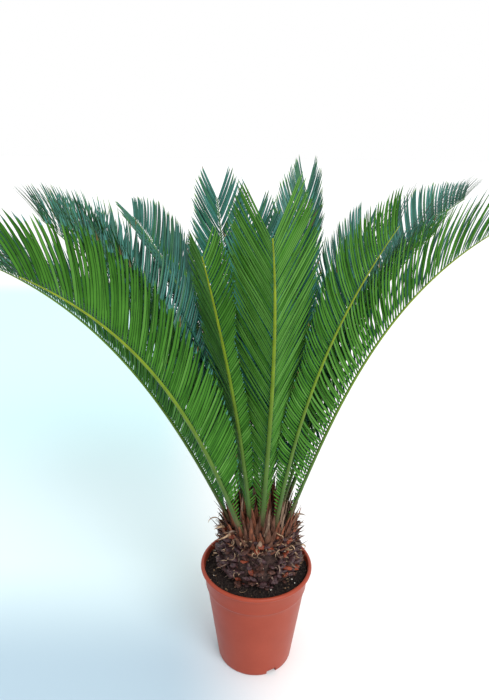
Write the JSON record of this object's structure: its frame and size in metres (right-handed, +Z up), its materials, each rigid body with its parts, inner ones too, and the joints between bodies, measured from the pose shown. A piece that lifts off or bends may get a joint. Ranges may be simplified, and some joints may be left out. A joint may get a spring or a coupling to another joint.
{
  "type": "potted cycad",
  "caption": "Young cycad with a stout scaly trunk and a vase-shaped crown of long arching feather fronds, growing in a round tapered plastic nursery pot.",
  "frame": {"origin": "middle of the pot's flat underside, where the plant stands", "axes": "+Z up along the pot and trunk, -Y towards the viewer of the plant's front"},
  "size_m": [0.8058, 0.7471, 0.7584],
  "materials": {
    "pot_plastic": "satin terracotta plastic",
    "soil": "loose potting mix",
    "trunk_scales": "rough leaf bases",
    "scale_leaves": "woolly scale leaves",
    "frond_green": "leathery leaflets"
  },
  "bodies": {
    "root": {"pot": "pot_plastic", "soil": "soil", "trunk": "trunk_scales", "scale_leaf_collar": "scale_leaves", "frond_01_lower": "frond_green", "frond_01_upper": "frond_green", "frond_02_lower": "frond_green", "frond_02_upper": "frond_green", "frond_03": "frond_green", "frond_04": "frond_green", "frond_05_lower": "frond_green", "frond_05_upper": "frond_green", "frond_06_lower": "frond_green", "frond_06_upper": "frond_green", "frond_07_lower": "frond_green", "frond_07_upper": "frond_green", "frond_08_lower": "frond_green", "frond_08_upper": "frond_green", "frond_09_lower": "frond_green", "frond_09_upper": "frond_green", "frond_10": "frond_green", "frond_11": "frond_green", "frond_12_lower": "frond_green", "frond_12_upper": "frond_green", "frond_13_lower": "frond_green", "frond_13_upper": "frond_green", "frond_14": "frond_green", "frond_15": "frond_green", "frond_16_lower": "frond_green", "frond_16_upper": "frond_green", "frond_17_lower": "frond_green", "frond_17_upper": "frond_green"}
  },
  "joints": []
}
